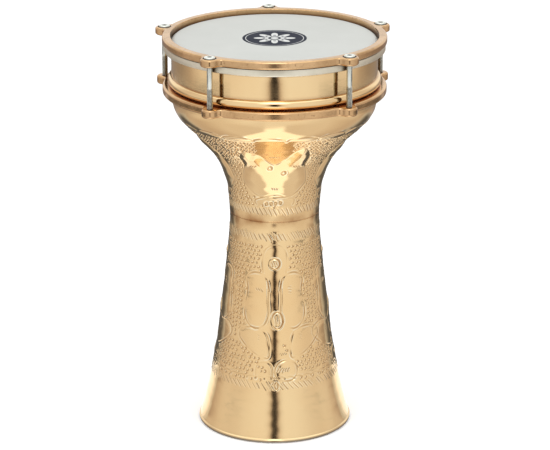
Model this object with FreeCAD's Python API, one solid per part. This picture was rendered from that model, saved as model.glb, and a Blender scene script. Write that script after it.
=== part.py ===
import FreeCAD, Part
import math
import os
from FreeCAD import Vector

# Darbuka with a bolted, tension-rod head. Millimetres, +Z up, origin on the drum's axis
# in the plane that the foot's rim stands on. Angles are counted from +X, seen from above.

# shell
SHEET = 1.0                 # wall of the stem and the bowl
SEAM_Z = 217.6              # brazed seam at the waist
SEAM_GAP = 1.2              # width of the seam at the surface
LAP_TOP_Z = 225.6           # the stem's spigot ends here, inside the bowl's neck
BRAZE_FILM = 0.2            # brazing metal between the spigot and the neck
FOOT_WIRE_R = 0.9           # wire in the foot's rolled edge
ROLL_Z = 1.7                # height of the wire's centre
ROLL_R = 73.9               # distance of the wire's centre from the axis

# outside radius of the stem and the bowl at each height
STATIONS = [
    (3.4, 74.4), (12.0, 71.6), (24.0, 68.6), (40.0, 65.0), (60.0, 61.4), (85.0, 57.1),
    (112.0, 54.0), (140.0, 50.4), (165.0, 47.7), (190.0, 45.1), (210.0, 43.8),
    (232.0, 44.9), (250.0, 47.1), (265.0, 51.2), (276.0, 56.1), (288.0, 65.8),
    (300.0, 78.4), (311.0, 89.8), (322.0, 97.2), (333.0, 99.3), (347.0, 99.45),
]
TOP_Z = STATIONS[-1][0]

# collar and its stop ring
COLLAR_R = 99.5
COLLAR_WALL = 1.5
COLLAR_FOOT_Z = 347.4
EDGE_Z = 389.2              # height of the bearing edge
EDGE_R = 4.0                # outer radius of the edge where it turns in
NECK_TOP_Z = 360.0          # the bowl's top edge, lapped inside the collar
STOP_LOW_Z = 345.9
STOP_HIGH_Z = 355.0
STOP_PROUD = 3.4

# hoops
LUGS = 5
LUG_START = 21.0
ROD_R = 110.6               # the screws stand on a circle of this radius
HOOP_IN_R = 100.2
HOOP_OUT_R = 108.2
UPPER_LOW_Z = 386.3
UPPER_HIGH_Z = 394.0
UPPER_LUG_R = 9.0
LOWER_LOW_Z = 337.2
LOWER_HIGH_Z = 345.7
LOWER_LUG_R = 8.0
LUG_FILLET = 6.0
HOOP_ROUND = 2.2            # rounding of the hoops' outer edges
HOOP_EASE = 0.9             # rounding of the hoops' inner edges

# screws and washers
THREAD_R = 2.97
SHANK_R = 2.68
THREAD_LONG = 27.0
SCREW_LONG = 55.0
SCREW_HOLE_R = 3.3
TAPPED_R = 3.03
SCREW_HEAD_R = 5.4
SCREW_HEAD_H = 2.3
HEX_FLATS = 4.0
HEX_DEEP = 1.6
WASHER_R = 6.0
WASHER_H = 1.0
SEAT_R = 6.5                # counterbore for the washer
SEAT_DEEP = 1.8
HEAD_PLAY = 0.05

# drum head
FILM = 0.25
FILM_TOP_Z = 389.6
FLESH_IN_R = 100.25
FLESH_OUT_R = 106.7
FLESH_LOW_Z = 379.6
FLESH_HIGH_Z = 386.1
FLESH_INNER_Z = 385.3       # the channel's inner wall is lower: the film passes over it
FLESH_WALL = 1.0
TAIL_R = 102.2              # outside radius of the film's tail in the resin
TAIL_LOW_Z = 381.8
RESIN_TOP_Z = 384.3


def save(shape, name):
    shape.exportStep(os.path.join("parts", name + ".step"))


def line(a, b):
    return Part.makeLine(Vector(a[0], 0, a[1]), Vector(b[0], 0, b[1]))


def bend(centre, radius, start, end):
    """Arc in the XZ half plane round centre, from one angle to another in degrees."""
    points = []
    for angle in (start, (start + end) / 2.0, end):
        t = math.radians(angle)
        points.append(Vector(centre[0] + radius * math.cos(t), 0, centre[1] + radius * math.sin(t)))
    return Part.Arc(points[0], points[1], points[2]).toShape()


def lathe(edges):
    """Turn a closed outline of (radius, height) edges into a solid about the Z axis."""
    wire = Part.Wire(Part.__sortEdges__(edges))
    solid = Part.Face(wire).revolve(Vector(0, 0, 0), Vector(0, 0, 1), 360)
    return solid


def outline(points):
    return [line(points[i], points[(i + 1) % len(points)]) for i in range(len(points))]


def wall_curve():
    curve = Part.BSplineCurve()
    curve.interpolate([Vector(r, 0, z) for z, r in STATIONS])
    return curve


def beside(curve, inset, low, high, count):
    """Points of the wall's line moved inwards by inset, between two heights."""
    first = curve.parameter(wall_point(curve, low))
    last = curve.parameter(wall_point(curve, high))
    points = []
    for i in range(count):
        u = first + (last - first) * i / (count - 1.0)
        at = curve.value(u)
        way = curve.tangent(u)[0]
        points.append((at.x - inset * way.z, at.z + inset * way.x))
    return points


def wall_point(curve, height):
    """Point of the wall's line at a height, found by halving the parameter range."""
    low = curve.FirstParameter
    high = curve.LastParameter
    for _ in range(60):
        middle = (low + high) / 2.0
        if curve.value(middle).z < height:
            low = middle
        else:
            high = middle
    return curve.value((low + high) / 2.0)


def smooth(points):
    curve = Part.BSplineCurve()
    curve.interpolate([Vector(r, 0, z) for r, z in points])
    return curve.toShape()


def rod_places():
    places = []
    for i in range(LUGS):
        t = math.radians(LUG_START + i * 360.0 / LUGS)
        places.append(Vector(ROD_R * math.cos(t), ROD_R * math.sin(t), 0))
    return places


def rod(radius, low, high, place):
    return Part.makeCylinder(radius, high - low, Vector(place.x, place.y, low))


def hoop_plan(lug_r, low):
    """Outer outline of a hoop: the ring, its lugs, and the fillets between them."""
    ring_c = HOOP_OUT_R + LUG_FILLET
    lug_c = lug_r + LUG_FILLET
    cos_a = (ring_c ** 2 + ROD_R ** 2 - lug_c ** 2) / (2.0 * ring_c * ROD_R)
    half = math.acos(cos_a)
    edges = []
    step = 2.0 * math.pi / LUGS
    for i in range(LUGS):
        mid = math.radians(LUG_START) + i * step
        lug = Vector(ROD_R * math.cos(mid), ROD_R * math.sin(mid), low)
        joins = []
        for side in (-1, 1):
            t = mid + side * half
            centre = Vector(ring_c * math.cos(t), ring_c * math.sin(t), low)
            on_ring = Vector(HOOP_OUT_R * math.cos(t), HOOP_OUT_R * math.sin(t), low)
            on_lug = lug + (centre - lug) * (lug_r / lug_c)
            inward = (on_ring + on_lug) * 0.5 - centre
            inward.normalize()
            edges.append(Part.Arc(on_ring, centre + inward * LUG_FILLET, on_lug).toShape())
            joins.append((on_ring, on_lug))
        tip = Vector((ROD_R + lug_r) * math.cos(mid), (ROD_R + lug_r) * math.sin(mid), low)
        edges.append(Part.Arc(joins[0][1], tip, joins[1][1]).toShape())
        from_t = mid + half
        to_t = mid + step - half
        ends = []
        for t in (from_t, (from_t + to_t) / 2.0, to_t):
            ends.append(Vector(HOOP_OUT_R * math.cos(t), HOOP_OUT_R * math.sin(t), low))
        edges.append(Part.Arc(ends[0], ends[1], ends[2]).toShape())
    return Part.Face(Part.Wire(Part.__sortEdges__(edges)))


def hoop(lug_r, low, high):
    """Cast hoop with its lugs, the edges rounded, the screw holes not yet made."""
    blank = hoop_plan(lug_r, low).extrude(Vector(0, 0, high - low))
    rims = []
    for edge in blank.Edges:
        ends = [v.Point.z for v in edge.Vertexes]
        if max(ends) - min(ends) < 1e-6:
            rims.append(edge)
    blank = blank.makeFillet(HOOP_ROUND, rims)
    bore = Part.makeCylinder(HOOP_IN_R, high - low, Vector(0, 0, low))
    ring = blank.cut(bore)
    inner = []
    for edge in ring.Edges:
        box = edge.BoundBox
        flat = box.ZLength < 1e-6
        if flat and abs(box.XMax - HOOP_IN_R) < 0.01 and abs(box.YMax - HOOP_IN_R) < 0.01:
            inner.append(edge)
    return ring.makeFillet(HOOP_EASE, inner)


def make_stem(curve):
    """Stem and foot: rolled edge round the wire, flared wall, spigot inside the bowl's neck."""
    low_z = STATIONS[0][0]
    seam_low = SEAM_Z - SEAM_GAP / 2.0
    spigot = SHEET + BRAZE_FILM
    outer = beside(curve, 0.0, low_z, seam_low, 40)
    inner = beside(curve, SHEET, low_z + 1.0, seam_low - 4.0, 40)
    sleeve_out = beside(curve, spigot, seam_low + 0.2, LAP_TOP_Z, 6)
    sleeve_in = beside(curve, spigot + SHEET, seam_low - 1.0, LAP_TOP_Z, 8)
    edges = [smooth(outer)]
    edges.append(line(outer[-1], sleeve_out[0]))
    edges.append(smooth(sleeve_out))
    edges.append(line(sleeve_out[-1], sleeve_in[-1]))
    edges.append(smooth(sleeve_in))
    edges.append(line(sleeve_in[0], inner[-1]))
    edges.append(smooth(inner))
    edges.append(line(inner[0], outer[0]))
    wall = lathe(edges)
    roll = Part.makeTorus(ROLL_R, FOOT_WIRE_R + SHEET, Vector(0, 0, ROLL_Z), Vector(0, 0, 1))
    wire = Part.makeTorus(ROLL_R, FOOT_WIRE_R, Vector(0, 0, ROLL_Z), Vector(0, 0, 1))
    below = Part.makeCylinder(ROLL_R + 10.0, 5.0, Vector(0, 0, -5.0))
    stem = wall.fuse(roll).cut(wire).cut(below)
    return stem.removeSplitter(), wire


def make_bowl(curve):
    """Bowl from the seam to the collar, its top edge set in to lap inside the collar."""
    seam_high = SEAM_Z + SEAM_GAP / 2.0
    outer = beside(curve, 0.0, seam_high, TOP_Z, 40)
    inner = beside(curve, SHEET, seam_high, TOP_Z - 2.5, 40)
    lap_r = COLLAR_R - COLLAR_WALL - 0.05
    edges = [smooth(outer)]
    edges.append(line(outer[-1], (lap_r, TOP_Z + 0.4)))
    edges.append(line((lap_r, TOP_Z + 0.4), (lap_r, NECK_TOP_Z)))
    edges.append(line((lap_r, NECK_TOP_Z), (lap_r - SHEET, NECK_TOP_Z)))
    edges.append(line((lap_r - SHEET, NECK_TOP_Z), (lap_r - SHEET, TOP_Z - 0.4)))
    edges.append(line((lap_r - SHEET, TOP_Z - 0.4), inner[-1]))
    edges.append(smooth(inner))
    edges.append(line(inner[0], outer[0]))
    return lathe(edges)


def make_braze(curve):
    """Brazing metal: a ring flush in the seam and a thin film up the lap behind it."""
    low = SEAM_Z - SEAM_GAP / 2.0
    high = SEAM_Z + SEAM_GAP / 2.0
    face = beside(curve, 0.0, low, high, 4)
    back = beside(curve, SHEET + BRAZE_FILM, low + 0.2, LAP_TOP_Z, 8)
    front = beside(curve, SHEET, high, LAP_TOP_Z, 8)
    edges = [smooth(face)]
    edges.append(line(face[-1], front[0]))
    edges.append(smooth(front))
    edges.append(line(front[-1], back[-1]))
    edges.append(smooth(back))
    edges.append(line(back[0], face[0]))
    return lathe(edges)


def make_collar():
    turn = (COLLAR_R - EDGE_R, EDGE_Z - EDGE_R)
    inside = EDGE_R - COLLAR_WALL
    edges = [line((COLLAR_R, COLLAR_FOOT_Z), (COLLAR_R, turn[1]))]
    edges.append(bend(turn, EDGE_R, 0, 100))
    t = math.radians(100)
    tip_out = (turn[0] + EDGE_R * math.cos(t), turn[1] + EDGE_R * math.sin(t))
    tip_in = (turn[0] + inside * math.cos(t), turn[1] + inside * math.sin(t))
    edges.append(line(tip_out, tip_in))
    edges.append(bend(turn, inside, 100, 0))
    edges.append(line((COLLAR_R - COLLAR_WALL, turn[1]), (COLLAR_R - COLLAR_WALL, COLLAR_FOOT_Z)))
    edges.append(line((COLLAR_R - COLLAR_WALL, COLLAR_FOOT_Z), (COLLAR_R, COLLAR_FOOT_Z)))
    return lathe(edges)


def make_stop_ring():
    middle = (STOP_LOW_Z + STOP_HIGH_Z) / 2.0
    inner = COLLAR_R + 0.05
    edges = [line((inner, STOP_HIGH_Z), (inner, STOP_LOW_Z))]
    low = Vector(inner, 0, STOP_LOW_Z)
    high = Vector(inner, 0, STOP_HIGH_Z)
    crown = Vector(COLLAR_R + STOP_PROUD, 0, middle)
    edges.append(Part.Arc(low, crown, high).toShape())
    return lathe(edges)


def make_film():
    """Skin: flat disc, bend over the bearing edge, skirt, and the tail down into the resin."""
    under = FILM_TOP_Z - FILM
    turn = (COLLAR_R - EDGE_R, FILM_TOP_Z - EDGE_R - 0.4)
    over = FILM_TOP_Z - turn[1]
    ledge = FLESH_INNER_Z + 0.25
    edges = [line((0, under), (turn[0], under))]
    edges.append(bend(turn, over - FILM, 90, 0))
    edges.append(line((turn[0] + over - FILM, turn[1]), (turn[0] + over - FILM, ledge)))
    edges.append(line((turn[0] + over - FILM, ledge), (TAIL_R - FILM, ledge)))
    edges.append(line((TAIL_R - FILM, ledge), (TAIL_R - FILM, TAIL_LOW_Z)))
    edges.append(line((TAIL_R - FILM, TAIL_LOW_Z), (TAIL_R, TAIL_LOW_Z)))
    edges.append(line((TAIL_R, TAIL_LOW_Z), (TAIL_R, ledge + FILM)))
    edges.append(line((TAIL_R, ledge + FILM), (turn[0] + over, ledge + FILM)))
    edges.append(line((turn[0] + over, ledge + FILM), (turn[0] + over, turn[1])))
    edges.append(bend(turn, over, 0, 90))
    edges.append(line((turn[0], FILM_TOP_Z), (0, FILM_TOP_Z)))
    edges.append(line((0, FILM_TOP_Z), (0, under)))
    return lathe(edges)


def make_flesh_hoop():
    floor_z = FLESH_LOW_Z + FLESH_WALL
    points = [
        (FLESH_IN_R, FLESH_LOW_Z), (FLESH_OUT_R, FLESH_LOW_Z), (FLESH_OUT_R, FLESH_HIGH_Z),
        (FLESH_OUT_R - FLESH_WALL, FLESH_HIGH_Z), (FLESH_OUT_R - FLESH_WALL, floor_z),
        (FLESH_IN_R + FLESH_WALL, floor_z), (FLESH_IN_R + FLESH_WALL, FLESH_INNER_Z),
        (FLESH_IN_R, FLESH_INNER_Z),
    ]
    channel = lathe(outline(points))
    corner = []
    for edge in channel.Edges:
        box = edge.BoundBox
        low = box.ZLength < 1e-6 and abs(box.ZMin - FLESH_LOW_Z) < 0.01
        if low:
            corner.append(edge)
    return channel.makeFillet(0.7, corner)


def make_resin(film):
    points = [
        (FLESH_IN_R + FLESH_WALL, FLESH_LOW_Z + FLESH_WALL),
        (FLESH_OUT_R - FLESH_WALL, FLESH_LOW_Z + FLESH_WALL),
        (FLESH_OUT_R - FLESH_WALL, RESIN_TOP_Z),
        (FLESH_IN_R + FLESH_WALL, RESIN_TOP_Z),
    ]
    return lathe(outline(points)).cut(film)


def make_washer(place):
    low = UPPER_HIGH_Z - SEAT_DEEP
    disc = rod(WASHER_R, low, low + WASHER_H, place)
    return disc.cut(rod(SCREW_HOLE_R, low, low + WASHER_H, place))


def make_screw(place):
    """Screw with a low domed head, its hex socket, a plain shank and the threaded end."""
    seat = UPPER_HIGH_Z - SEAT_DEEP + WASHER_H + HEAD_PLAY
    tip = seat - SCREW_LONG
    head = rod(SCREW_HEAD_R, seat, seat + SCREW_HEAD_H, place)
    top = []
    for edge in head.Edges:
        box = edge.BoundBox
        if box.ZLength < 1e-6 and box.ZMin > seat + 1.0:
            top.append(edge)
    head = head.makeFillet(1.3, top)
    corner_r = HEX_FLATS / math.sqrt(3.0)
    corners = []
    for i in range(7):
        t = math.radians(60.0 * i)
        x = place.x + corner_r * math.cos(t)
        y = place.y + corner_r * math.sin(t)
        corners.append(Vector(x, y, seat + SCREW_HEAD_H - HEX_DEEP))
    socket = Part.Face(Part.makePolygon(corners)).extrude(Vector(0, 0, HEX_DEEP + 1.0))
    shank = rod(SHANK_R, tip + THREAD_LONG, seat, place)
    thread = rod(THREAD_R, tip, tip + THREAD_LONG, place)
    ends = []
    for edge in thread.Edges:
        box = edge.BoundBox
        if box.ZLength < 1e-6:
            ends.append(edge)
    thread = thread.makeChamfer(0.28, ends)
    return head.cut(socket).fuse(shank).fuse(thread).removeSplitter()


os.makedirs("parts", exist_ok=True)
profile = wall_curve()
places = rod_places()

stem, foot_wire = make_stem(profile)
save(stem, "shell_stem")
save(foot_wire, "foot_wire")
save(make_bowl(profile), "shell_bowl")
save(make_braze(profile), "waist_braze")
save(make_collar(), "shell_collar")
save(make_stop_ring(), "stop_ring")

upper = hoop(UPPER_LUG_R, UPPER_LOW_Z, UPPER_HIGH_Z)
lower = hoop(LOWER_LUG_R, LOWER_LOW_Z, LOWER_HIGH_Z)
for place in places:
    upper = upper.cut(rod(SCREW_HOLE_R, UPPER_LOW_Z - 1.0, UPPER_HIGH_Z + 1.0, place))
    upper = upper.cut(rod(SEAT_R, UPPER_HIGH_Z - SEAT_DEEP, UPPER_HIGH_Z + 1.0, place))
    lower = lower.cut(rod(TAPPED_R, LOWER_LOW_Z - 1.0, LOWER_HIGH_Z + 1.0, place))
save(upper, "upper_hoop")
save(lower, "lower_hoop")

skin = make_film()
save(skin, "head_film")
save(make_flesh_hoop(), "flesh_hoop")
save(make_resin(skin), "flesh_hoop_resin")

for number, place in enumerate(places, start=1):
    save(make_washer(place), "washer_%d" % number)
    save(make_screw(place), "tension_screw_%d" % number)
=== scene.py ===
import math
import bpy
import numpy as np
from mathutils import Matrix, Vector


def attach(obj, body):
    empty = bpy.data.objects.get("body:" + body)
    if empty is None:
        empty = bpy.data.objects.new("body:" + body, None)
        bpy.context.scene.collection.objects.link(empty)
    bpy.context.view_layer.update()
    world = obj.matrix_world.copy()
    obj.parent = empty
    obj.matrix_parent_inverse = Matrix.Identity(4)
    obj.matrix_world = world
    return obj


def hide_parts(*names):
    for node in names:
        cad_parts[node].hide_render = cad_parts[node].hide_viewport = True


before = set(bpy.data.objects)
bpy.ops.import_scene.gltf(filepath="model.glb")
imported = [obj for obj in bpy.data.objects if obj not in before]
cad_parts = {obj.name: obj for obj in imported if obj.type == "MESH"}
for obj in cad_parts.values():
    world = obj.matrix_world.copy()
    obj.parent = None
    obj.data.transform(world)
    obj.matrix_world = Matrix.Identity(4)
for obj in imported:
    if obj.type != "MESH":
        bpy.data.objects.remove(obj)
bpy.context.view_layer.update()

rng = np.random.default_rng(417)

# Lengths are in millimetres and become metres when a mesh is made. The shaders and the stage are
# in metres. phi is the azimuth from the drum's front (-Y), growing towards +X.

# (height, radius) of the shell's outside, from the foot's roll to the collar
STATIONS = [
    (3.4, 74.4), (12.0, 71.6), (24.0, 68.6), (40.0, 65.0), (60.0, 61.4), (85.0, 57.1),
    (112.0, 54.0), (140.0, 50.4), (165.0, 47.7), (190.0, 45.1), (210.0, 43.8),
    (232.0, 44.9), (250.0, 47.1), (265.0, 51.2), (276.0, 56.1), (288.0, 65.8),
    (300.0, 78.4), (311.0, 89.8), (322.0, 97.2), (333.0, 99.3), (347.0, 99.45),
]
SHEET = 1.0                    # thickness of the shell
SEAM_LOW, SEAM_HIGH = 217.0, 218.2
SHELL_TOP = 347.0
COLLAR_R, COLLAR_SHEET, COLLAR_FOOT = 99.5, 1.5, 347.4
EDGE = (95.5, 385.2)           # centre of the arc that the collar's top edge and the skin follow
WASHER_FOOT = 394.0 - 1.8      # the floor of the pockets in the upper hoop's lugs
WASHER_THICK = 1.0
SCREW_LONG = 55.0
CLEAR = 0.05                   # gap between parts that touch
AXIS = 0.02                    # radius at which a turned section stops short of its axis
ROD_R = 110.6
RODS = [math.radians(21.0 + 72.0 * i) for i in range(5)]


# -------------------- wall line

def wall_table():
    """Natural cubic line through the stations: arc length, height, radius and outward normal."""
    points = np.array(STATIONS)
    knots = np.r_[0.0, np.cumsum(np.hypot(*np.diff(points, axis=0).T))]
    gaps = np.diff(knots)
    last = len(knots) - 1
    matrix = np.zeros((last + 1, last + 1))
    turns = np.zeros((last + 1, 2))
    matrix[0, 0] = matrix[last, last] = 1.0
    for i in range(1, last):
        matrix[i, i - 1:i + 2] = gaps[i - 1], 2 * (gaps[i - 1] + gaps[i]), gaps[i]
        slope_above = (points[i + 1] - points[i]) / gaps[i]
        slope_below = (points[i] - points[i - 1]) / gaps[i - 1]
        turns[i] = 6 * (slope_above - slope_below)
    bend = np.linalg.solve(matrix, turns)
    at = np.linspace(0.0, knots[-1], 6001)
    k = np.clip(np.searchsorted(knots, at) - 1, 0, last - 1)
    left, right, gap = (at - knots[k])[:, None], (knots[k + 1] - at)[:, None], gaps[k][:, None]
    line = (bend[k] * right ** 3 + bend[k + 1] * left ** 3) / (6 * gap)
    line += (points[k] / gap - bend[k] * gap / 6) * right
    line += (points[k + 1] / gap - bend[k + 1] * gap / 6) * left
    z, r = line[:, 0], line[:, 1]
    s = np.r_[0.0, np.cumsum(np.hypot(np.diff(z), np.diff(r)))]
    dz, dr = np.gradient(z, s), np.gradient(r, s)
    length = np.hypot(dz, dr)
    return s, z, r, dz / length, -dr / length


WALL_S, WALL_Z, WALL_R, WALL_NR, WALL_NZ = wall_table()


def arc_at(z):
    """Arc length along the wall at a height."""
    return float(np.interp(z, WALL_Z, WALL_S))


def wall_at(s):
    """Height, radius and outward normal (radial, upward) at an arc length."""
    return [np.interp(s, WALL_S, column) for column in (WALL_Z, WALL_R, WALL_NR, WALL_NZ)]


def radius_at(z):
    return float(np.interp(z, WALL_Z, WALL_R))


# -------------------- engraving

def turn(angle):
    """The same angle between -pi and pi."""
    return (angle + np.pi) % (2 * np.pi) - np.pi


def inside(px, py, outline):
    """True for the points inside a closed outline."""
    hit = np.zeros(px.shape, bool)
    for (x0, y0), (x1, y1) in zip(outline, np.roll(outline, -1, axis=0)):
        if y0 != y1:
            cross = (y0 > py) != (y1 > py)
            hit ^= cross & (px < (x1 - x0) * (py - y0) / (y1 - y0) + x0)
    return hit


def distance(px, py, line):
    """Distance from points to a broken line."""
    best = np.full(px.shape, 1e9)
    for (x0, y0), (x1, y1) in zip(line[:-1], line[1:]):
        dx, dy = x1 - x0, y1 - y0
        t = np.clip(((px - x0) * dx + (py - y0) * dy) / (dx * dx + dy * dy + 1e-12), 0, 1)
        best = np.minimum(best, np.hypot(px - x0 - t * dx, py - y0 - t * dy))
    return best


def arch(half, high, square=2.6, count=30):
    """Open arch, from its left foot over the crown to its right foot. The larger square is, the
    squarer its shoulders are."""
    t = np.linspace(0.0, np.pi, count)
    x = -np.sign(np.cos(t)) * np.abs(np.cos(t)) ** (2 / square) * half
    y = high * (0.42 + 0.58 * np.abs(np.sin(t)) ** (2 / 2.2))
    left_foot = np.array([[-half * 0.93, 0.0], [-half * 0.99, high * 0.2]])
    right_foot = np.array([[half * 0.99, high * 0.2], [half * 0.93, 0.0]])
    return np.vstack([left_foot, np.c_[x, y], right_foot])


def oval(half_w, half_h):
    """Closed oval that stands on its lowest point."""
    t = np.linspace(0.0, 2 * np.pi, 25)
    return np.c_[half_w * np.cos(t), half_h + half_h * np.sin(t)]


def closed_curve(points, mirror):
    """Smooth closed outline through (across, height z) points, as offsets from its lowest z.
    Points name real heights; the outline is in arc length along the wall."""
    steps = 5
    base = min(z for _, z in points)
    p = np.array([(x * mirror, arc_at(z) - arc_at(base)) for x, z in points])
    outline = []
    for i in range(len(p)):
        before, here, following, beyond = (p[(i + k) % len(p)] for k in (-1, 0, 1, 2))
        for t in np.arange(steps) / steps:
            outline.append(0.5 * (2 * here + (following - before) * t
                                  + (2 * before - 5 * here + 4 * following - beyond) * t * t
                                  + (3 * here - before - 3 * following + beyond) * t ** 3))
    outline.append(outline[0])
    return base, np.array(outline)


# Closed outlines as (across, height z)
PETAL = [(0, 111), (8, 114.5), (12.4, 122), (12.9, 131), (11.4, 141), (10.4, 150), (11.8, 158),
         (10, 163.5), (4, 166.5), (-3, 166), (-8.4, 162.5), (-10.8, 156), (-11.2, 148),
         (-11.7, 138), (-12.3, 127), (-9, 116)]
WING = [(-15, 82), (-6, 84), (4, 89.5), (12, 96), (16, 101), (15, 107.5), (8.5, 111.2),
        (0, 112), (-8, 110), (-13.5, 105), (-16, 97), (-17, 88)]
LOTUS = [(0, 59.5), (6.5, 60.5), (10.6, 65), (11.6, 70.5), (9.6, 76), (4.5, 79.2), (-1.5, 79.6),
         (-7.5, 77), (-11, 71), (-10.6, 64.5), (-6, 60.5)]
PALM_HALF = [(0, 281), (3.7, 282.5), (8.5, 287), (14.9, 293), (22.4, 299.5), (31.3, 301.5),
             (34.6, 293), (34.6, 286), (30.7, 277), (32.1, 268), (32.1, 258), (27.4, 252.5),
             (21.9, 247.5), (16.1, 244.4), (10.4, 244.2), (5, 245.8), (0, 246.4)]
# The left arm is everything further out than ARM_X. It loses a share of its height over ARM_Z.
ARM_X, ARM_Z, ARM_DROP = 18.0, 284.0, 0.36
PALM = PALM_HALF + [(-x, z - ARM_DROP * max(0.0, z - ARM_Z) if x > ARM_X else z)
                    for x, z in PALM_HALF[-2:0:-1]]


FIGURES = []     # (phi, arc length of the foot, outline, swell, depth of the groove, slope's width)
STROKES = []     # (phi, arc length, length, lean, depth, width)
PUNCHES = []     # (phi, arc length, direction, depth)
DEEPEST = 0.85   # keeps every mark inside the thickness of the sheet

# Hand-worked unevenness of the whole wall: (waves round the drum, waves per mm upwards, start
# angle, height)
RIPPLES = [(3, 0.031, 0.4, 0.055), (5, 0.047, 1.9, 0.04), (7, -0.062, 3.1, 0.03),
           (11, 0.10, 0.7, 0.02), (13, -0.083, 5.0, 0.018)]


def figure(phi_deg, z_low, outline, swell, depth, slope=4.0):
    """A groove round the outline, with its inside raised by swell over a slope's width."""
    FIGURES.append((math.radians(phi_deg), arc_at(z_low), outline, swell, depth, slope))


def tall(z_low, z_high):
    """Length along the wall between two heights."""
    return arc_at(z_high) - arc_at(z_low)


def shape(phi_deg, points, mirror, swell, depth, slope=4.0):
    base, outline = closed_curve(points, mirror)
    figure(phi_deg, base, outline, swell, depth, slope)


def marks(phi_deg, z, count, long, lean, gap=2.3, depth=0.34, stacked=False):
    """Row of short strokes, side by side or stacked upwards."""
    for i in range(count):
        off = (i - (count - 1) / 2) * gap
        phi = math.radians(phi_deg) + (0.0 if stacked else off / radius_at(z))
        s = arc_at(z) + (off if stacked else rng.normal(0, 0.25))
        length = long * (1 + rng.normal(0, 0.1))
        STROKES.append((phi, s, length, lean + rng.normal(0, 0.08), depth, 0.5))


def stroke_ring(z_low, z_high, count, lean_deg, depth):
    """Ring of slanted strokes round the drum."""
    long = tall(z_low, z_high) / math.cos(math.radians(lean_deg))
    for i in range(count):
        phi = 2 * math.pi * i / count + rng.normal(0, 0.004)
        s = (arc_at(z_low) + arc_at(z_high)) / 2 + rng.normal(0, 0.35)
        lean = math.radians(lean_deg + rng.normal(0, 3.5))
        deep = depth * (1 + rng.normal(0, 0.22))
        STROKES.append((phi, s, long * (1 + rng.normal(0, 0.08)), lean, deep, 0.52))


def scallops(phi_deg, z_low, z_high, count, depth):
    """Ring of small arches, edge to edge."""
    half = math.pi * radius_at(z_low) / count * 0.97
    outline = arch(half, tall(z_low, z_high), 2.1, 14)[1:-1]
    for i in range(count):
        figure(phi_deg + 360.0 * i / count, z_low, outline, 1.2 * depth, depth)


def lay_out_stem(c, low, mid):
    """One panel of the stem: window, petals, wings, lotus, bosses and loose strokes. low and mid
    shift its bosses and its lower figures, so that no two panels are alike."""
    side = 1 if mid > 0 else -1
    figure(c, 167, arch(12.0, tall(167, 194.2)), 0.0, 0.24)
    for m in (-1, 1):
        shape(c + 20 * m, PETAL, m, 0.40, 0.36)
        shape(c + mid + 27.5 * m, WING, m, 0.40, 0.34)
        marks(c + 17.5 * m, 150, 3, 5.6, 0.6 if m < 0 else 1.35, 2.6, 0.36, m > 0)
        marks(c + mid + 22 * m, 102.5, 3, 3.2, 1.2, 1.9, 0.30, True)
    shape(c + 2 * mid, LOTUS, side, 0.40, 0.42)
    figure(c + 2 * mid - 21 * side, 62, arch(8.6, tall(62, 78)), 0.0, 0.26)
    marks(c + 2 * mid - 3 * side, 70.5, 5, 5.0, -0.5 * side, 2.5, 0.50)
    marks(c + 2 * mid - 2 * side, 86, 3, 2.6, -0.6 * side, 2.0, 0.36)
    figure(c + low * 0.5, 170.8, oval(5.2, 5.2), 0.8, 0.75)
    marks(c + low * 0.5, 176.0, 3, 4.6, 0.35, 2.2, 0.46)
    figure(c + 3.0 + low, 111.4, oval(5.6, 8.4), 0.8, 0.75)
    marks(c + 3.0 + low, 119.6, 2, 9.0, 0.05, 3.2, 0.42)
    for m in (-1, 1):
        marks(c + 6.9 * m, 153.5, 1, 11.0, -0.16 * m, depth=0.80)
    marks(c - 1.5, 202.0, 3, 5.6, 0.45, 3.0, 0.80)
    figure(c + 1.6, 51.6, oval(1.5, 3.2), 0.0, 0.62)
    marks(c - 0.6, 57.0, 2, 4.4, -0.6, 2.2, 0.66)


def lay_out_bowl(c):
    """One panel of the bowl: low arch, domed palm, stamps and a row of small ovals."""
    figure(c, 235.2, arch(19.6, tall(235.2, 243.8), 2.1), 0.10, 0.36)
    shape(c, PALM, 1, 2.60, 0.26, 9.5)
    for m in (-1, 1):
        marks(c + 20.5 * m, 279.4, 3, 4.2, 0.9 * m, 2.2, 0.45)
    figure(c - 4.4, 275.6, oval(2.0, 2.5), 0.4, 0.45)
    figure(c + 9.0, 269.6, oval(2.0, 2.5), 0.4, 0.45)
    marks(c, 290.5, 5, 2.4, 0.3, 2.3, 0.50)
    marks(c, 253, 3, 3.2, 0.3, 2.3, 0.72)
    for k in (-1.5, -0.5, 0.5, 1.5):
        figure(c - 1.5 + 5.6 * k, 235.9 + 0.4 * k, oval(1.2, 1.4), 0.0, 0.62)


def lay_out():
    for c, low, mid in ((0, 0.0, 5.5), (90, -2.5, -3.0), (180, 1.5, 4.0), (270, 2.0, -4.5)):
        lay_out_stem(c, low, mid)
        lay_out_bowl(c)
    scallops(-3.0, 311.0, 316.4, 18, 0.50)
    scallops(4.5, 60.8, 63.8, 40, 0.20)
    stroke_ring(224.4, 232.6, 64, 27, 0.46)
    stroke_ring(198.4, 206.4, 58, 30, 0.44)
    stroke_ring(50.8, 58.2, 74, 38, 0.42)


def plain(phi_deg, z):
    """True where the ground between the figures is left smooth: a strip down the middle of each
    panel, with its half width in degrees."""
    off = abs((phi_deg + 45.0) % 90.0 - 45.0)
    for z_high, half in ((84.0, 8.6), (165.0, 9.5), (195.0, 14.0), (236.0, 0.0), (289.0, 21.0)):
        if z < z_high:
            return off < half
    return off < 13.5


def punch(phi, s, r, depth=0.48):
    """One crescent punch mark, unless it is left out or would touch a figure."""
    if rng.random() > 0.03 and not near_figure(phi, s, r):
        PUNCHES.append((phi, s, rng.normal(-0.5, 0.35), depth * (1 + rng.normal(0, 0.22))))


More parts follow.
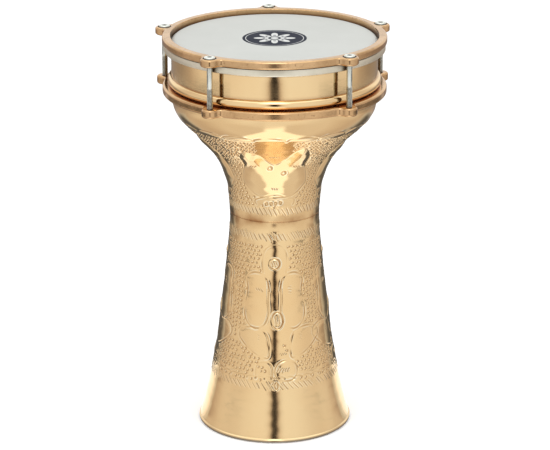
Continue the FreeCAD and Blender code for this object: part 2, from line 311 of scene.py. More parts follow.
def scatter_rows(z_low, z_high, pitch):
    """Staggered rows of punch marks round the drum, deeper near the bowl's rim."""
    s, end, row = arc_at(z_low), arc_at(z_high), 0
    while s < end:
        z, r = [float(v) for v in wall_at(s)[:2]]
        count = int(round(2 * math.pi * r / pitch))
        for i in range(count):
            phi = 2 * math.pi * (i + 0.5 * (row % 2)) / count + rng.normal(0, 0.4) / r
            if not plain(math.degrees(phi), z):
                punch(phi, s + rng.normal(0, 0.35), r, 0.72 if z > 285.0 else 0.50)
        s += 0.9 * pitch
        row += 1


def scatter_column(phi_deg, z_low, z_high, pitch):
    """Upright column of punch marks."""
    s, end = arc_at(z_low), arc_at(z_high)
    while s < end:
        r = float(wall_at(s)[1])
        punch(math.radians(phi_deg) + rng.normal(0, 0.35) / r, s, r)
        s += pitch + rng.normal(0, 0.25)


def scatter():
    """Punch marks over the ground, clear of every figure: columns beside the tall petals and
    rows elsewhere."""
    scatter_rows(61.0, 97.0, 4.6)
    scatter_rows(168.0, 196.0, 4.5)
    scatter_rows(234.8, 289.0, 4.4)
    scatter_rows(290.0, 310.6, 3.8)
    for quarter in range(4):
        for k in range(-3, 4):
            scatter_column(45 + 90 * quarter + 5.1 * k, 99.0 + rng.uniform(0, 3), 167.0, 4.5)


def near_figure(phi, s, r):
    """True where a punch mark would lie on a raised figure or touch an outline."""
    for f_phi, f_s, outline, swell, _, _ in FIGURES:
        x, y = turn(phi - f_phi) * r, s - f_s
        if abs(x) > 40 or y < -4 or y > 80:
            continue
        px, py = np.array([x]), np.array([y])
        if swell > 0 and inside(px, py, outline)[0]:
            return True
        if distance(px, py, outline)[0] < 1.9:
            return True
    return False


def window(phis, ss, phi, s, half_w, below, above):
    """The rows and columns near a mark, and their distances from it sideways and upwards."""
    rows = np.nonzero((ss > s - below) & (ss < s + above))[0]
    if not len(rows):
        return None
    middle_r = float(wall_at(s + (above - below) / 2)[1])
    cols = np.nonzero(np.abs(turn(phis - phi)) * middle_r < half_w)[0]
    radius = wall_at(ss[rows])[1]
    du = turn(phis[cols] - phi)[None, :] * radius[:, None]
    dv = (ss[rows] - s)[:, None] + np.zeros_like(du)
    return np.ix_(rows, cols), du, dv


def bell(x, width):
    return np.exp(-(x / width) ** 2)


def fade_out(x, width):
    """1 well below zero and 0 well above it."""
    return 1 / (1 + np.exp(x / width))


def work_figure(du, dv, phi, outline, depth):
    """Groove round a figure with a burr on each side, cut unevenly by hand."""
    away = distance(du, dv, outline)
    uneven = 0.68 + 0.62 * np.sin(0.31 * du + 2.0 * phi) * np.sin(0.23 * dv + 3.0 * phi)
    uneven = depth * np.maximum(uneven, 0.12)
    return away, 0.30 * uneven * bell(away - 1.45, 0.6) - uneven * bell(away, 0.60)


def swell_figure(du, dv, away, outline, swell, slope):
    """Dome inside a figure that climbs from its outline and grows towards its top."""
    ramp = np.clip(away / slope, 0.0, 1.0)
    rise = ramp * (1.3 - 0.3 * ramp ** 2)
    part = np.clip(dv / (0.62 * outline[:, 1].max()), 0.0, 1.0)
    grow = 0.30 + 0.70 * part * part * (3.0 - 2.0 * part)
    return np.where(inside(du, dv, outline), swell * rise * grow, 0.0)


def work_stroke(du, dv, long, lean, depth, width):
    """Straight groove with a burr on each side."""
    along = dv * math.cos(lean) - du * math.sin(lean)
    across = dv * math.sin(lean) + du * math.cos(lean)
    burr = 0.42 * bell(np.abs(across) - 1.7 * width, 0.8 * width)
    return depth * fade_out(np.abs(along) - long / 2 + 0.6, 0.45) * (burr - bell(across, width))


def work_punch(du, dv, spin, depth):
    """Crescent with a shallow ring round it and a raised middle."""
    x = du * math.cos(spin) + dv * math.sin(spin) + 0.55
    y = dv * math.cos(spin) - du * math.sin(spin)
    away = np.hypot(x, y)
    crescent = fade_out(np.abs(np.arctan2(y, x)) - 1.25, 0.14) * bell(away - 1.25, 0.52)
    return depth * (0.50 * bell(away, 0.75) - crescent - 0.30 * bell(away - 1.2, 0.6))


def relief(phis, ss):
    """Height of the worked surface over the plain wall at every (arc length, phi), and the part
    of it that the tools cut or raised."""
    h = np.zeros((len(ss), len(phis)))
    cut = np.zeros_like(h)
    for around, upward, start, size in RIPPLES:
        h += size * np.sin(around * phis[None, :] + 2 * math.pi * upward * ss[:, None] + start)
    for phi, s, outline, swell, depth, slope in FIGURES:
        half = np.abs(outline[:, 0]).max() + 4
        got = window(phis, ss, phi, s, half, 4, outline[:, 1].max() + 4)
        if got:
            at, du, dv = got
            away, groove = work_figure(du, dv, phi, outline, depth)
            cut[at] += groove
            if swell > 0:
                h[at] += swell_figure(du, dv, away, outline, swell, slope)
    for phi, s, long, lean, depth, width in STROKES:
        got = window(phis, ss, phi, s, long / 2 + 3, long / 2 + 2, long / 2 + 2)
        if got:
            at, du, dv = got
            cut[at] += work_stroke(du, dv, long, lean, depth, width)
    for phi, s, spin, depth in PUNCHES:
        got = window(phis, ss, phi, s, 3.4, 3.2, 3.2)
        if got:
            at, du, dv = got
            cut[at] += work_punch(du, dv, spin, depth)
    cut = np.where(cut < 0, cut / (1.0 + (cut / DEEPEST) ** 4) ** 0.25, cut)
    return h + cut, cut


# -------------------- meshes

def add_mesh(name, verts, faces):
    mesh = bpy.data.meshes.new(name)
    mesh.from_pydata(verts, [], faces)
    obj = bpy.data.objects.new(name, mesh)
    bpy.context.scene.collection.objects.link(obj)
    return obj


def angles(count):
    return np.arange(count) * 2 * math.pi / count


def spin_rows(rows, phis, offset=0.0):
    """Grid of points from rows of (radius, height), each a number or one value per phi."""
    grid = np.zeros((len(rows), len(phis), 3))
    for i, (r, z) in enumerate(rows):
        grid[i, :, 0] = r * np.sin(phis + offset)
        grid[i, :, 1] = -r * np.cos(phis + offset)
        grid[i, :, 2] = z
    return grid


def unit(v):
    return v / np.maximum(np.linalg.norm(v, axis=-1, keepdims=True), 1e-12)


def grid_normals(p):
    """Outward normals of an open grid of rows that climb, with columns that wrap."""
    across = np.roll(p, -1, 1) - np.roll(p, 1, 1)
    up = np.gradient(p, axis=0)
    return unit(np.cross(across, up))


def ring_mesh(name, grid, sharp, given=(), attribute=None):
    """Closed mesh from rows that run round a section and join up. sharp says which rows are
    corners. given has ready normals for the first rows, and attribute a value per point for the
    shader."""
    m, n, _ = grid.shape
    above = np.roll(grid, -1, 0)
    face = unit(np.cross(np.roll(above, -1, 1) - grid, above - np.roll(grid, -1, 1)))
    face = unit(face + np.roll(face, 1, 1))
    start = np.zeros_like(grid)
    stop = np.zeros_like(grid)
    for i in range(m):
        after = (i + 1) % m
        start[i] = face[i] if sharp[i] else unit(face[i] + face[i - 1])
        stop[i] = face[i] if sharp[after] else unit(face[i] + face[after])
    for i in range(len(given) - 1):
        start[i] = given[i]
        stop[i] = given[i + 1]
    low = np.arange(m * n).reshape(m, n)
    high = np.roll(low, -1, 0)
    faces = np.stack([low, np.roll(low, -1, 1), np.roll(high, -1, 1), high], -1).reshape(-1, 4)
    normals = np.stack([start, np.roll(start, -1, 1), np.roll(stop, -1, 1), stop], 2).reshape(-1, 3)
    obj = add_mesh(name, grid.reshape(-1, 3) * 0.001, faces.tolist())
    obj.data.validate()
    obj.data.shade_smooth()
    if attribute is not None:
        layer = obj.data.attributes.new("relief", "FLOAT", "POINT")
        layer.data.foreach_set("value", np.asarray(attribute, np.float32))
    obj.data.normals_split_custom_set(normals)
    return obj


def corners(section, limit=32.0):
    """Which points of a closed (r, z) section turn by more than limit degrees."""
    p = np.array(section)
    a = p - np.roll(p, 1, 0)
    b = np.roll(p, -1, 0) - p
    cosine = (a * b).sum(1) / (np.hypot(*a.T) * np.hypot(*b.T) + 1e-12)
    return cosine < math.cos(math.radians(limit))


def lathe(name, section, count=384):
    """Turned ring from a closed section whose points run up the outside first."""
    return ring_mesh(name, spin_rows(section, angles(count)), corners(section))


def arc(centre, radius, start, stop, count, tall_radius=None):
    """Points of an arc in a section, with its angles in degrees up from the outward side."""
    turned = np.radians(np.linspace(start, stop, count))
    up = tall_radius or radius
    return [(centre[0] + radius * math.cos(a), centre[1] + up * math.sin(a)) for a in turned]


def engraved(name, z_low, z_high, count, step, tail, first=-1):
    """Worked stretch of the shell. tail is the rest of its section, from the top of the outside
    over the upper end, down the inside and back to the foot of the outside. A row beyond each
    end makes the normals run on; first is 0 where there is no wall below z_low."""
    phis = angles(count)
    start, stop = arc_at(z_low), arc_at(z_high)
    rows = int(round((stop - start) / step)) + 1
    pitch = (stop - start) / (rows - 1)
    ss = start + pitch * np.arange(first, rows + 1)
    h, cut = relief(phis, ss)
    z, r, nr, nz = wall_at(ss)
    wide = spin_rows([(r[i] + h[i] * nr[i], z[i] + h[i] * nz[i]) for i in range(len(ss))], phis)
    kept = slice(-first, -1)
    ends = [(r[kept][-1], z[kept][-1])] + tail + [(r[kept][0], z[kept][0])]
    sharp = np.concatenate([np.zeros(rows, bool), corners(ends)[1:-1]])
    sharp[0] = sharp[rows - 1] = True
    grid = np.concatenate([wide[kept], spin_rows(tail, phis)])
    worked = np.concatenate([cut[kept].ravel(), np.zeros(len(tail) * count)])
    return ring_mesh(name, grid, sharp, grid_normals(wide)[kept], worked)


def inner_wall(z_high, z_low, spacing=6.0):
    """Section points down the inside of the wall."""
    start, stop = arc_at(z_high), arc_at(z_low)
    count = max(2, int(round((start - stop) / spacing)) + 1)
    z, r, nr, nz = wall_at(np.linspace(start, stop, count))
    return list(zip(r - SHEET * nr, z - SHEET * nz))


def outer_point(z, inset=0.0):
    """Section point on the wall at a height, or inset under it."""
    z, r, nr, nz = [float(v) for v in wall_at(arc_at(z))]
    return (r - inset * nr, z - inset * nz)


# -------------------- node helpers

class Tree:
    """Short calls that add nodes to a node tree."""

    def __init__(self, nt, coordinates):
        self.nt = nt
        self.coord = self.new("ShaderNodeTexCoord").outputs[coordinates]

    def new(self, kind, **props):
        node = self.nt.nodes.new(kind)
        for key, value in props.items():
            setattr(node, key, value)
        return node

    def link(self, a, b):
        self.nt.links.new(a, b)

    def put(self, socket, value):
        if isinstance(value, bpy.types.NodeSocket):
            self.link(value, socket)
        else:
            socket.default_value = value

    def math(self, op, a, b=0.0, c=0.0, clamp=False):
        node = self.new("ShaderNodeMath", operation=op, use_clamp=clamp)
        for socket, value in zip(node.inputs, (a, b, c)):
            self.put(socket, value)
        return node.outputs[0]

    def below(self, value, edge, soft):
        """1 below the edge and 0 above it."""
        return self.math("MULTIPLY_ADD", self.math("SUBTRACT", edge, value), 1.0 / soft, 0.5, clamp=True)

    def above(self, value, edge, soft):
        return self.math("SUBTRACT", 1.0, self.below(value, edge, soft))

    def xyz(self):
        node = self.new("ShaderNodeSeparateXYZ")
        self.link(self.coord, node.inputs[0])
        return node.outputs["X"], node.outputs["Y"], node.outputs["Z"]

    def mapping(self, scale):
        node = self.new("ShaderNodeMapping")
        self.link(self.coord, node.inputs["Vector"])
        node.inputs["Scale"].default_value = scale
        return node.outputs[0]

    def noise(self, scale, detail=3.0, rough=0.5, vector=None):
        node = self.new("ShaderNodeTexNoise")
        self.link(vector or self.coord, node.inputs["Vector"])
        node.inputs["Scale"].default_value = scale
        node.inputs["Detail"].default_value = detail
        node.inputs["Roughness"].default_value = rough
        return node.outputs["Fac"]

    def attribute(self, name):
        return self.new("ShaderNodeAttribute", attribute_name=name).outputs["Fac"]

    def ramp(self, value, stops):
        """Ramp through stops of (position, colour or grey level)."""
        node = self.new("ShaderNodeValToRGB")
        self.put(node.inputs["Fac"], value)
        items = node.color_ramp.elements
        while len(items) < len(stops):
            items.new(0.5)
        for item, (at, colour) in zip(items, stops):
            item.position = at
            if not isinstance(colour, tuple):
                colour = (colour, colour, colour)
            item.color = (*colour, 1.0)
        return node.outputs["Color"]

    def mix(self, fac, a, b):
        node = self.new("ShaderNodeMix", data_type="RGBA")
        self.put(node.inputs[0], fac)
        for socket, value in ((node.inputs[6], a), (node.inputs[7], b)):
            if isinstance(value, tuple):
                value = (*value, 1.0)
            self.put(socket, value)
        return node.outputs[2]

    def bump(self, height, distance, strength, normal=None):
        node = self.new("ShaderNodeBump")
        self.put(node.inputs["Height"], height)
        node.inputs["Distance"].default_value = distance
        node.inputs["Strength"].default_value = strength
        if normal is not None:
            self.link(normal, node.inputs["Normal"])
        return node.outputs["Normal"]

    def scale_range(self, value, low, high):
        node = self.new("ShaderNodeMapRange")
        self.put(node.inputs["Value"], value)
        node.inputs["To Min"].default_value = low
        node.inputs["To Max"].default_value = high
        return node.outputs["Result"]

    def open_sky(self, distance, power):
        """1 on open surface, falling towards 0 deep in a gap."""
        node = self.new("ShaderNodeAmbientOcclusion", samples=6)
        node.inputs["Distance"].default_value = distance
        return self.math("POWER", node.outputs["AO"], power)


class Surface(Tree):
    """A new material and its Principled shader."""

    def __init__(self, name):
        self.mat = bpy.data.materials.new(name)
        self.mat.use_nodes = True
        super().__init__(self.mat.node_tree, "Object")
        self.shader = self.nt.nodes["Principled BSDF"]

    def set(self, name, value):
        self.put(self.shader.inputs[name], value)


def copper(name, light, deep, rough=(0.07, 0.16), tarnish=0.35, worked=True, seam=False,
           crevice=None, rim=False):
    """Polished copper. worked darkens the cuts and lightens the burrs into a painted highlight, seam
    stains the waist, crevice is the shade painted into gaps as (colour, reach, power), and rim
    paints shade on the foot's lip."""
    t = Surface(name)
    cloud = t.noise(9.0, 4.0, 0.6)
    colour = t.ramp(cloud, [(0.30, deep), (0.62, light)])
    spots = t.noise(55.0, 5.0, 0.65)
    colour = t.mix(t.scale_range(spots, 0.0, tarnish * 0.5), colour, deep)
    if worked:
        cut = t.attribute("relief")
        low = t.math("MULTIPLY", t.math("SUBTRACT", -0.08, cut), 4.5, clamp=True)
        brown = (deep[0] * 0.44, deep[1] * 0.33, deep[2] * 0.26)
        colour = t.mix(t.math("MULTIPLY", low, 0.62), colour, brown)
        # painted highlight: the raised burrs are lightened towards pale cream
        high = t.math("MULTIPLY", t.math("SUBTRACT", cut, 0.03), 14.0, clamp=True)
        colour = t.mix(t.math("MULTIPLY", high, 0.75), colour, (1.0, 0.90, 0.66))
    if seam:
        middle = 0.0005 * (SEAM_LOW + SEAM_HIGH)
        off = t.math("ABSOLUTE", t.math("SUBTRACT", t.xyz()[2], middle))
        edge = t.math("ADD", off, t.math("MULTIPLY", t.math("SUBTRACT", spots, 0.5), 0.010))
        heat = t.math("SUBTRACT", 1.0, t.math("MULTIPLY", edge, 105.0), clamp=True)
        stain = (deep[0] * 0.50, deep[1] * 0.36, deep[2] * 0.28)
        patch = t.math("MULTIPLY", heat, t.ramp(t.noise(30.0, 3.0), [(0.40, 0.15), (0.62, 1.0)]))
        colour = t.mix(patch, colour, stain)
    # painted shade: the foot's lowest few millimetres, under the rolled lip, darken towards grey-brown
    if rim:
        wear_and_shade = t.math("MULTIPLY", t.math("SUBTRACT", 0.0034, t.xyz()[2]), 420.0, clamp=True)
        colour = t.mix(wear_and_shade, colour, (0.21, 0.19, 0.15))
    # painted shade: where an AO node finds another surface within reach, the colour darkens towards the
    # shade colour
    if crevice:
        shade_colour, reach, power = crevice
        colour = t.mix(t.open_sky(reach, power), shade_colour, colour)
    t.set("Base Color", colour)
    brushed = t.noise(1.0, 4.0, 0.7, t.mapping((60.0, 60.0, 1500.0)))
    fine = t.noise(420.0, 3.0, 0.6)
    blend = t.math("MULTIPLY_ADD", brushed, 0.55, t.math("MULTIPLY", cloud, 0.45))
    t.set("Roughness", t.scale_range(blend, *rough))
    t.set("Metallic", 1.0)
    grain = t.bump(fine, 0.00003, 0.35, t.bump(brushed, 0.00004, 0.35))
    t.set("Normal", t.bump(t.noise(24.0, 2.0), 0.0016, 0.10, grain))
    return t.mat


def cast_metal(name, light, deep, shade_colour, reach):
    """Sand-cast brass with small pits and stains, and shade painted into its gaps."""
    t = Surface(name)
    cloud = t.noise(35.0, 5.0, 0.65)
    colour = t.ramp(cloud, [(0.28, deep), (0.68, light)])
    pits = t.noise(330.0, 4.0, 0.75)
    hole = t.ramp(pits, [(0.30, 1.0), (0.40, 0.0)])
    dark = (deep[0] * 0.45, deep[1] * 0.38, deep[2] * 0.32)
    colour = t.mix(t.math("MULTIPLY", hole, 0.7), colour, dark)
    stain = t.ramp(t.noise(120.0, 5.0, 0.7), [(0.54, 0.0), (0.70, 0.26)])
    colour = t.mix(stain, colour, dark)
    # painted shade: in the hoops' gaps the colour darkens towards the shade colour, by an AO node
    t.set("Base Color", t.mix(t.open_sky(reach, 1.1), shade_colour, colour))
    t.set("Metallic", 1.0)
    t.set("Roughness", t.scale_range(cloud, 0.10, 0.20))
    t.set("Normal", t.bump(t.noise(90.0, 3.0), 0.0005, 0.16, t.bump(pits, 0.00008, 0.30)))
    return t.mat


def plain_metal(name, light, deep, rough, grain=(300.0, 300.0, 300.0), threaded=False, gap=0.006):
    """Drawn or plated metal, darker in the roots of a thread where threaded is set, and with shade
    painted into its gaps.
    """
    t = Surface(name)
    cloud = t.noise(60.0, 4.0, 0.6)
    colour = t.ramp(cloud, [(0.3, deep), (0.7, light)])
    if threaded:
        # the thread's roots are darkened, by an uneven amount
        root_darkening = t.ramp(t.noise(420.0, 3.0, 0.6), [(0.38, 0.35), (0.60, 1.35)])
        root = t.math("MULTIPLY", t.attribute("relief"), -1.0)
        colour = t.mix(t.math("MULTIPLY", root, root_darkening, clamp=True), colour, (0.13, 0.12, 0.09))
    # painted shade: in narrow gaps the colour darkens towards dark brown, by an AO node
    t.set("Base Color", t.mix(t.open_sky(gap, 1.2), (0.13, 0.075, 0.035), colour))
    t.set("Metallic", 1.0)
    lines = t.noise(1.0, 4.0, 0.65, t.mapping(grain))
    t.set("Roughness", t.scale_range(lines, *rough))
    t.set("Normal", t.bump(lines, 0.00004, 0.4))
    return t.mat


def resin_material():
    t = Surface("resin_mat")
    cloud = t.noise(80.0, 4.0)
    t.set("Base Color", t.ramp(cloud, [(0.3, (0.62, 0.55, 0.38)), (0.7, (0.74, 0.68, 0.52))]))
    t.set("Roughness", t.scale_range(cloud, 0.3, 0.5))
    return t.mat


def skin_material():
    """Smooth pale film with a printed rosette: a dark disc, a ring and eight petals."""
    t = Surface("skin_mat")
    disc_r, ring_r, ring_inner_r, eye_r = 0.0310, 0.0282, 0.0275, 0.0038
    petal_start, petal_low, petal_rise = 0.0062, 0.0050, 0.0150
    hollow_start, hollow_low, hollow_rise = 0.0095, 0.0030, 0.0090
    sharp, soft = 0.00012, 0.00025
    x, y, _ = t.xyz()
    rad = t.math("SQRT", t.math("ADD", t.math("MULTIPLY", x, x), t.math("MULTIPLY", y, y)))
    four_times = t.math("MULTIPLY", t.math("ARCTAN2", y, x), 4.0)
    wave = t.math("ABSOLUTE", t.math("COSINE", four_times))

    def band(inner, outer, outer_edge):
        return t.math("MULTIPLY", t.below(rad, outer, outer_edge), t.above(rad, inner, sharp))

    ring = band(ring_inner_r, ring_r, sharp)
    petals = band(petal_start, t.math("MULTIPLY_ADD", wave, petal_rise, petal_low), soft)
    hollow = band(hollow_start, t.math("MULTIPLY_ADD", wave, hollow_rise, hollow_low), soft)
    light = t.math("MAXIMUM", ring, t.math("SUBTRACT", petals, hollow, clamp=True))
    light = t.math("MAXIMUM", light, t.below(rad, eye_r, sharp))
    wear_and_shade = t.noise(900.0, 3.0, 0.7)
    film = t.ramp(t.noise(14.0, 4.0, 0.6), [(0.3, (0.452, 0.463, 0.441)), (0.7, (0.486, 0.498, 0.476))])
    ink = t.ramp(wear_and_shade, [(0.3, (0.012, 0.015, 0.026)), (0.7, (0.022, 0.026, 0.040))])
    rosette = t.mix(light, ink, (0.55, 0.565, 0.55))
    t.set("Base Color", t.mix(t.below(rad, disc_r, sharp), film, rosette))
    t.set("Roughness", t.scale_range(t.noise(40.0, 4.0), 0.30, 0.44))
    t.set("Normal", t.bump(wear_and_shade, 0.00002, 0.25))
    t.set("Specular IOR Level", 0.015)
    return t.mat


# -------------------- build

SHELL = ("shell", "engraved_copper")     # body and slot of the engraved pieces


def dress(obj, node, body, slot, material):
    obj.data.materials.clear()
    obj.data.materials.append(material)
    if node:
        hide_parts(node)
    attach(obj, body)
    return obj


def repaint(node, material):
    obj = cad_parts[node]
    obj.data.materials.clear()
    obj.data.materials.append(material)


LIGHT = (0.94, 0.70, 0.385)
DEEP = (0.91, 0.63, 0.32)
engraved_mat = copper("engraved_copper_mat", LIGHT, DEEP, (0.055, 0.14), seam=True)
# painted shade: the foot and the plain copper darken in their gaps, and the foot at its lip
foot_mat = copper("foot_copper_mat", LIGHT, DEEP, crevice=((0.20, 0.16, 0.12), 0.004, 1.6), rim=True)
plain_mat = copper("plain_copper_mat", LIGHT, DEEP, (0.045, 0.10), 0.25, worked=False,
                   crevice=((0.24, 0.06, 0.03), 0.0035, 1.5))
braze_mat = copper("braze_mat", (0.90, 0.64, 0.34), (0.66, 0.40, 0.19), (0.12, 0.26), 0.9,
                   worked=False, seam=True)
# painted shade: the third colour of each cast brass is the shade painted into its gaps, with its reach
# after it
cast_mat = cast_metal("cast_brass_mat", (0.74, 0.485, 0.26), (0.54, 0.34, 0.17),
                      (0.16, 0.06, 0.03), 0.0045)
low_cast_mat = cast_metal("low_cast_brass_mat", (0.78, 0.50, 0.26), (0.57, 0.35, 0.17),
                          (0.40, 0.13, 0.06), 0.0022)
# painted shade: gap is how far the shade painted into the steel's gaps reaches
steel_mat = plain_metal("plated_steel_mat", (0.88, 0.91, 0.84), (0.72, 0.75, 0.68), (0.10, 0.22),
                        threaded=True, gap=0.022)
wire_mat = plain_metal("wire_mat", (0.55, 0.55, 0.54), (0.42, 0.42, 0.41), (0.3, 0.45))
alu_mat = plain_metal("aluminium_mat", (0.88, 0.83, 0.69), (0.76, 0.72, 0.58), (0.30, 0.42),
                      (60.0, 60.0, 1400.0))
resin_mat = resin_material()
skin_mat = skin_material()

lay_out()
scatter()


def make_stem():
    """Foot with its edge rolled outwards and flattened where the drum stands, then the stem with
    a spigot at its top that goes up inside the bowl."""
    foot_top, split, inside_top = 48.6, 121.0, 211.0
    roll, roll_r = (73.9, 1.7), 1.9
    flat = math.sqrt(roll_r ** 2 - roll[1] ** 2)
    tail = [outer_point(foot_top, SHEET * 0.5)] + inner_wall(foot_top, 5.0)
    tail += [point for point in arc(roll, roll_r, 115, 243, 12) if point[1] > 0.02]
    tail += [(roll[0] - flat, 0.0), (roll[0] + flat, 0.0)] + arc(roll, roll_r, -60, 62, 14)
    foot = engraved("stem_foot", 3.9, foot_top, 384, 1.02, tail, first=0)
    dress(foot, "shell_stem", *SHELL, foot_mat)
    low = engraved("stem_lower", foot_top, split, 704, 0.74, inner_wall(split, foot_top))
    dress(low, None, *SHELL, engraved_mat)
    spigot = [outer_point(217.1, 1.2), outer_point(225.6, 1.2), outer_point(225.6, 2.2),
              outer_point(216.4, 2.2), outer_point(213.0, 1.0)]
    tail = spigot + inner_wall(inside_top, split)
    high = engraved("stem_upper", split, SEAM_LOW, 608, 0.74, tail)
    dress(high, None, *SHELL, engraved_mat)


def make_bowl():
    """Bowl in three stretches, the last with a plain rim that laps inside the collar."""
    throat_top, belly_top, rim_top = 268.0, 317.0, 360.0
    tail = inner_wall(throat_top, SEAM_HIGH)
    throat = engraved("bowl_throat", SEAM_HIGH, throat_top, 608, 0.62, tail)
    dress(throat, "shell_bowl", *SHELL, engraved_mat)
    tail = inner_wall(belly_top, throat_top)
    belly = engraved("bowl_belly", throat_top, belly_top, 832, 0.74, tail)
    dress(belly, None, *SHELL, engraved_mat)
    lap = COLLAR_R - COLLAR_SHEET - CLEAR
    rim = [(lap, COLLAR_FOOT), (lap, rim_top), (lap - SHEET, rim_top), (lap - SHEET, 346.6)]
    tail = rim + inner_wall(344.5, belly_top)
    shoulder = engraved("bowl_shoulder", belly_top, SHELL_TOP, 512, 2.0, tail)
    dress(shoulder, None, *SHELL, engraved_mat)


def make_braze():
    """Seam: a low bead with an uneven edge, flush with the shell."""
    phis = angles(384)
    wave = 0.0
    for waves, size in ((7, 0.10), (19, 0.07), (31, 0.05), (53, 0.03)):
        wave += size * np.sin(waves * phis + rng.uniform(0, 6))
    (low_r, low_z), (high_r, high_z) = outer_point(SEAM_LOW), outer_point(SEAM_HIGH)
    rows = [(low_r - 0.02, low_z - 0.12 + wave * 0.5), (low_r + 0.02 + wave * 0.55, low_z + 0.3),
            (high_r + 0.02 + wave * 0.55, high_z - 0.3), (high_r - 0.02, high_z + 0.12 + wave * 0.5),
            outer_point(218.5, 1.02), outer_point(225.5, 1.02), outer_point(225.5, 1.18),
            outer_point(217.3, 1.18)]
    bead = ring_mesh("seam_bead", spin_rows(rows, phis), [False] * 4 + [True] * 4)
    dress(bead, "waist_braze", "shell", "braze", braze_mat)


def make_collar():
    """Plain band with its top edge turned in, and the half-round stop ring on its foot."""
    turned = COLLAR_R - EDGE[0]
    inner_r = COLLAR_R - COLLAR_SHEET
    section = [(COLLAR_R, z) for z in (COLLAR_FOOT, 355.0, 370.0, EDGE[1])]
    section += arc(EDGE, turned, 10, 100, 10) + arc(EDGE, turned - COLLAR_SHEET, 100, 0, 8)
    section += [(inner_r, 370.0), (inner_r, COLLAR_FOOT)]
    dress(lathe("collar_band", section), "shell_collar", "shell", "plain_copper", plain_mat)
    back = COLLAR_R + CLEAR
    section = [(back, 345.9)] + arc((99.6, 350.45), 3.3, -86, 86, 21, 4.5) + [(back, 355.0)]
    dress(lathe("stop_bead", section), "stop_ring", "shell", "plain_copper", plain_mat)


def make_skin():
    """Film with a flat top, the bend over the collar's edge, a step and a tail that hangs in the
    channel."""
    under, over = 4.15, 4.40     # the film's two faces, measured from the edge's centre
    edge_r, edge_z = EDGE
    thick = over - under
    step_z, tail_r, tail_z = edge_z + 0.35, 101.95, 381.8
    section = [(AXIS, edge_z + under), (edge_r, edge_z + under)] + arc(EDGE, under, 80, 0, 8)
    section += [(edge_r + under, step_z), (tail_r, step_z), (tail_r, tail_z)]
    section += [(tail_r + thick, tail_z), (tail_r + thick, step_z + thick)]
    section += [(edge_r + over, step_z + thick)] + arc(EDGE, over, 0, 90, 9)
    section += [(r, edge_z + over) for r in np.linspace(88.0, AXIS, 24)]
    skin = lathe("drum_skin", section, 256)
    dress(skin, "head_film", "drumhead", "drum_skin", skin_mat)


def make_flesh_hoop():
    """Channel with rounded lips, open upwards."""
    section = [(100.95, 379.6), (105.6, 379.6), (106.25, 379.75), (106.62, 380.2), (106.7, 380.8)]
    section += [(106.7, 385.4), (106.55, 385.9), (106.2, 386.1), (105.9, 386.05), (105.7, 385.7)]
    section += [(105.7, 380.6), (101.25, 380.6), (101.25, 385.1), (101.05, 385.3), (100.4, 385.3)]
    section += [(100.25, 385.1), (100.25, 380.3), (100.45, 379.8)]
    hoop = lathe("skin_channel", section)
    dress(hoop, "flesh_hoop", "drumhead", "channel_aluminium", alu_mat)


def at_rod(grid, angle):
    return grid + np.array([ROD_R * math.cos(angle), ROD_R * math.sin(angle), 0.0])


def thread_rows(tip, phis):
    """Rows of the rolled thread, an eighth of a turn apart in height, as (radius, height, corner,
    root darkening)."""
    pitch, root_r, ridge, thread_long = 1.0, 2.42, 0.55, 27.0
    step = pitch / 8
    rows = []
    for i in range(212):
        z = tip + 0.5 + i * step
        along = (z - phis / (2 * math.pi)) % pitch
        groove = np.minimum(np.abs(along - 0.5) * 2.0, 0.86) / 0.86
        fade = min(1.0, (z - tip - 0.2) / 0.8, max(0.0, (tip + thread_long - z) / 0.8))
        rows.append((root_r + ridge * (1 - groove) * fade, z, False, -(0.14 + 0.5 * groove) * fade))
    return rows


def make_screw(number, angle):
    """Screw with a rolled thread, a thinner shank and a low head with a hex socket."""
    seat = WASHER_FOOT + WASHER_THICK + CLEAR
    tip = seat - SCREW_LONG
    shank_r, head_r, flat_to_flat = 2.68, 5.4, 4.0
    phis = angles(36)
    sixth = math.pi / 3
    socket = flat_to_flat / 2 / np.cos((phis + sixth / 2) % sixth - sixth / 2)
    rows = [(AXIS, tip, True, 0.0), (2.1, tip, True, 0.0), (2.45, tip + 0.35, False, 0.0)]
    rows += thread_rows(tip, phis)
    rows += [(2.62, tip + 27.3, False, 0.0), (shank_r, tip + 27.8, False, 0.0)]
    rows += [(shank_r, seat, True, 0.0), (head_r - 0.3, seat, True, 0.0)]
    rows += [(head_r, seat + 0.3, False, 0.0)]
    rows += [(*point, False, 0.0) for point in arc((head_r - 1.3, seat + 1.0), 1.3, 0, 80, 7)]
    rows += [(socket + 0.3, seat + 2.3, True, 0.0), (socket, seat + 2.05, True, 0.0)]
    rows += [(socket, seat + 0.7, True, 0.0), (AXIS, seat + 0.45, True, 0.0)]
    grid = spin_rows([row[:2] for row in rows], phis, 0.3 + 0.9 * number)
    root_darkening = np.array([row[3] + 0.0 * phis for row in rows])
    sharp = [row[2] for row in rows]
    screw = ring_mesh("screw_%d" % number, at_rod(grid, angle), sharp, (), root_darkening.ravel())
    dress(screw, "tension_screw_%d" % number, "screw_%d" % number, "plated_steel", steel_mat)


def make_washer(number, angle):
    low, high = WASHER_FOOT, WASHER_FOOT + WASHER_THICK
    section = [(5.8, low), (6.0, low + 0.2), (6.0, high - 0.2), (5.8, high), (3.4, high)]
    section += [(3.3, high - 0.1), (3.3, low)]
    grid = at_rod(spin_rows(section, angles(72)), angle)
    disc = ring_mesh("rod_washer_%d" % number, grid, corners(section))
    dress(disc, "washer_%d" % number, "upper_hoop", "plated_steel", steel_mat)


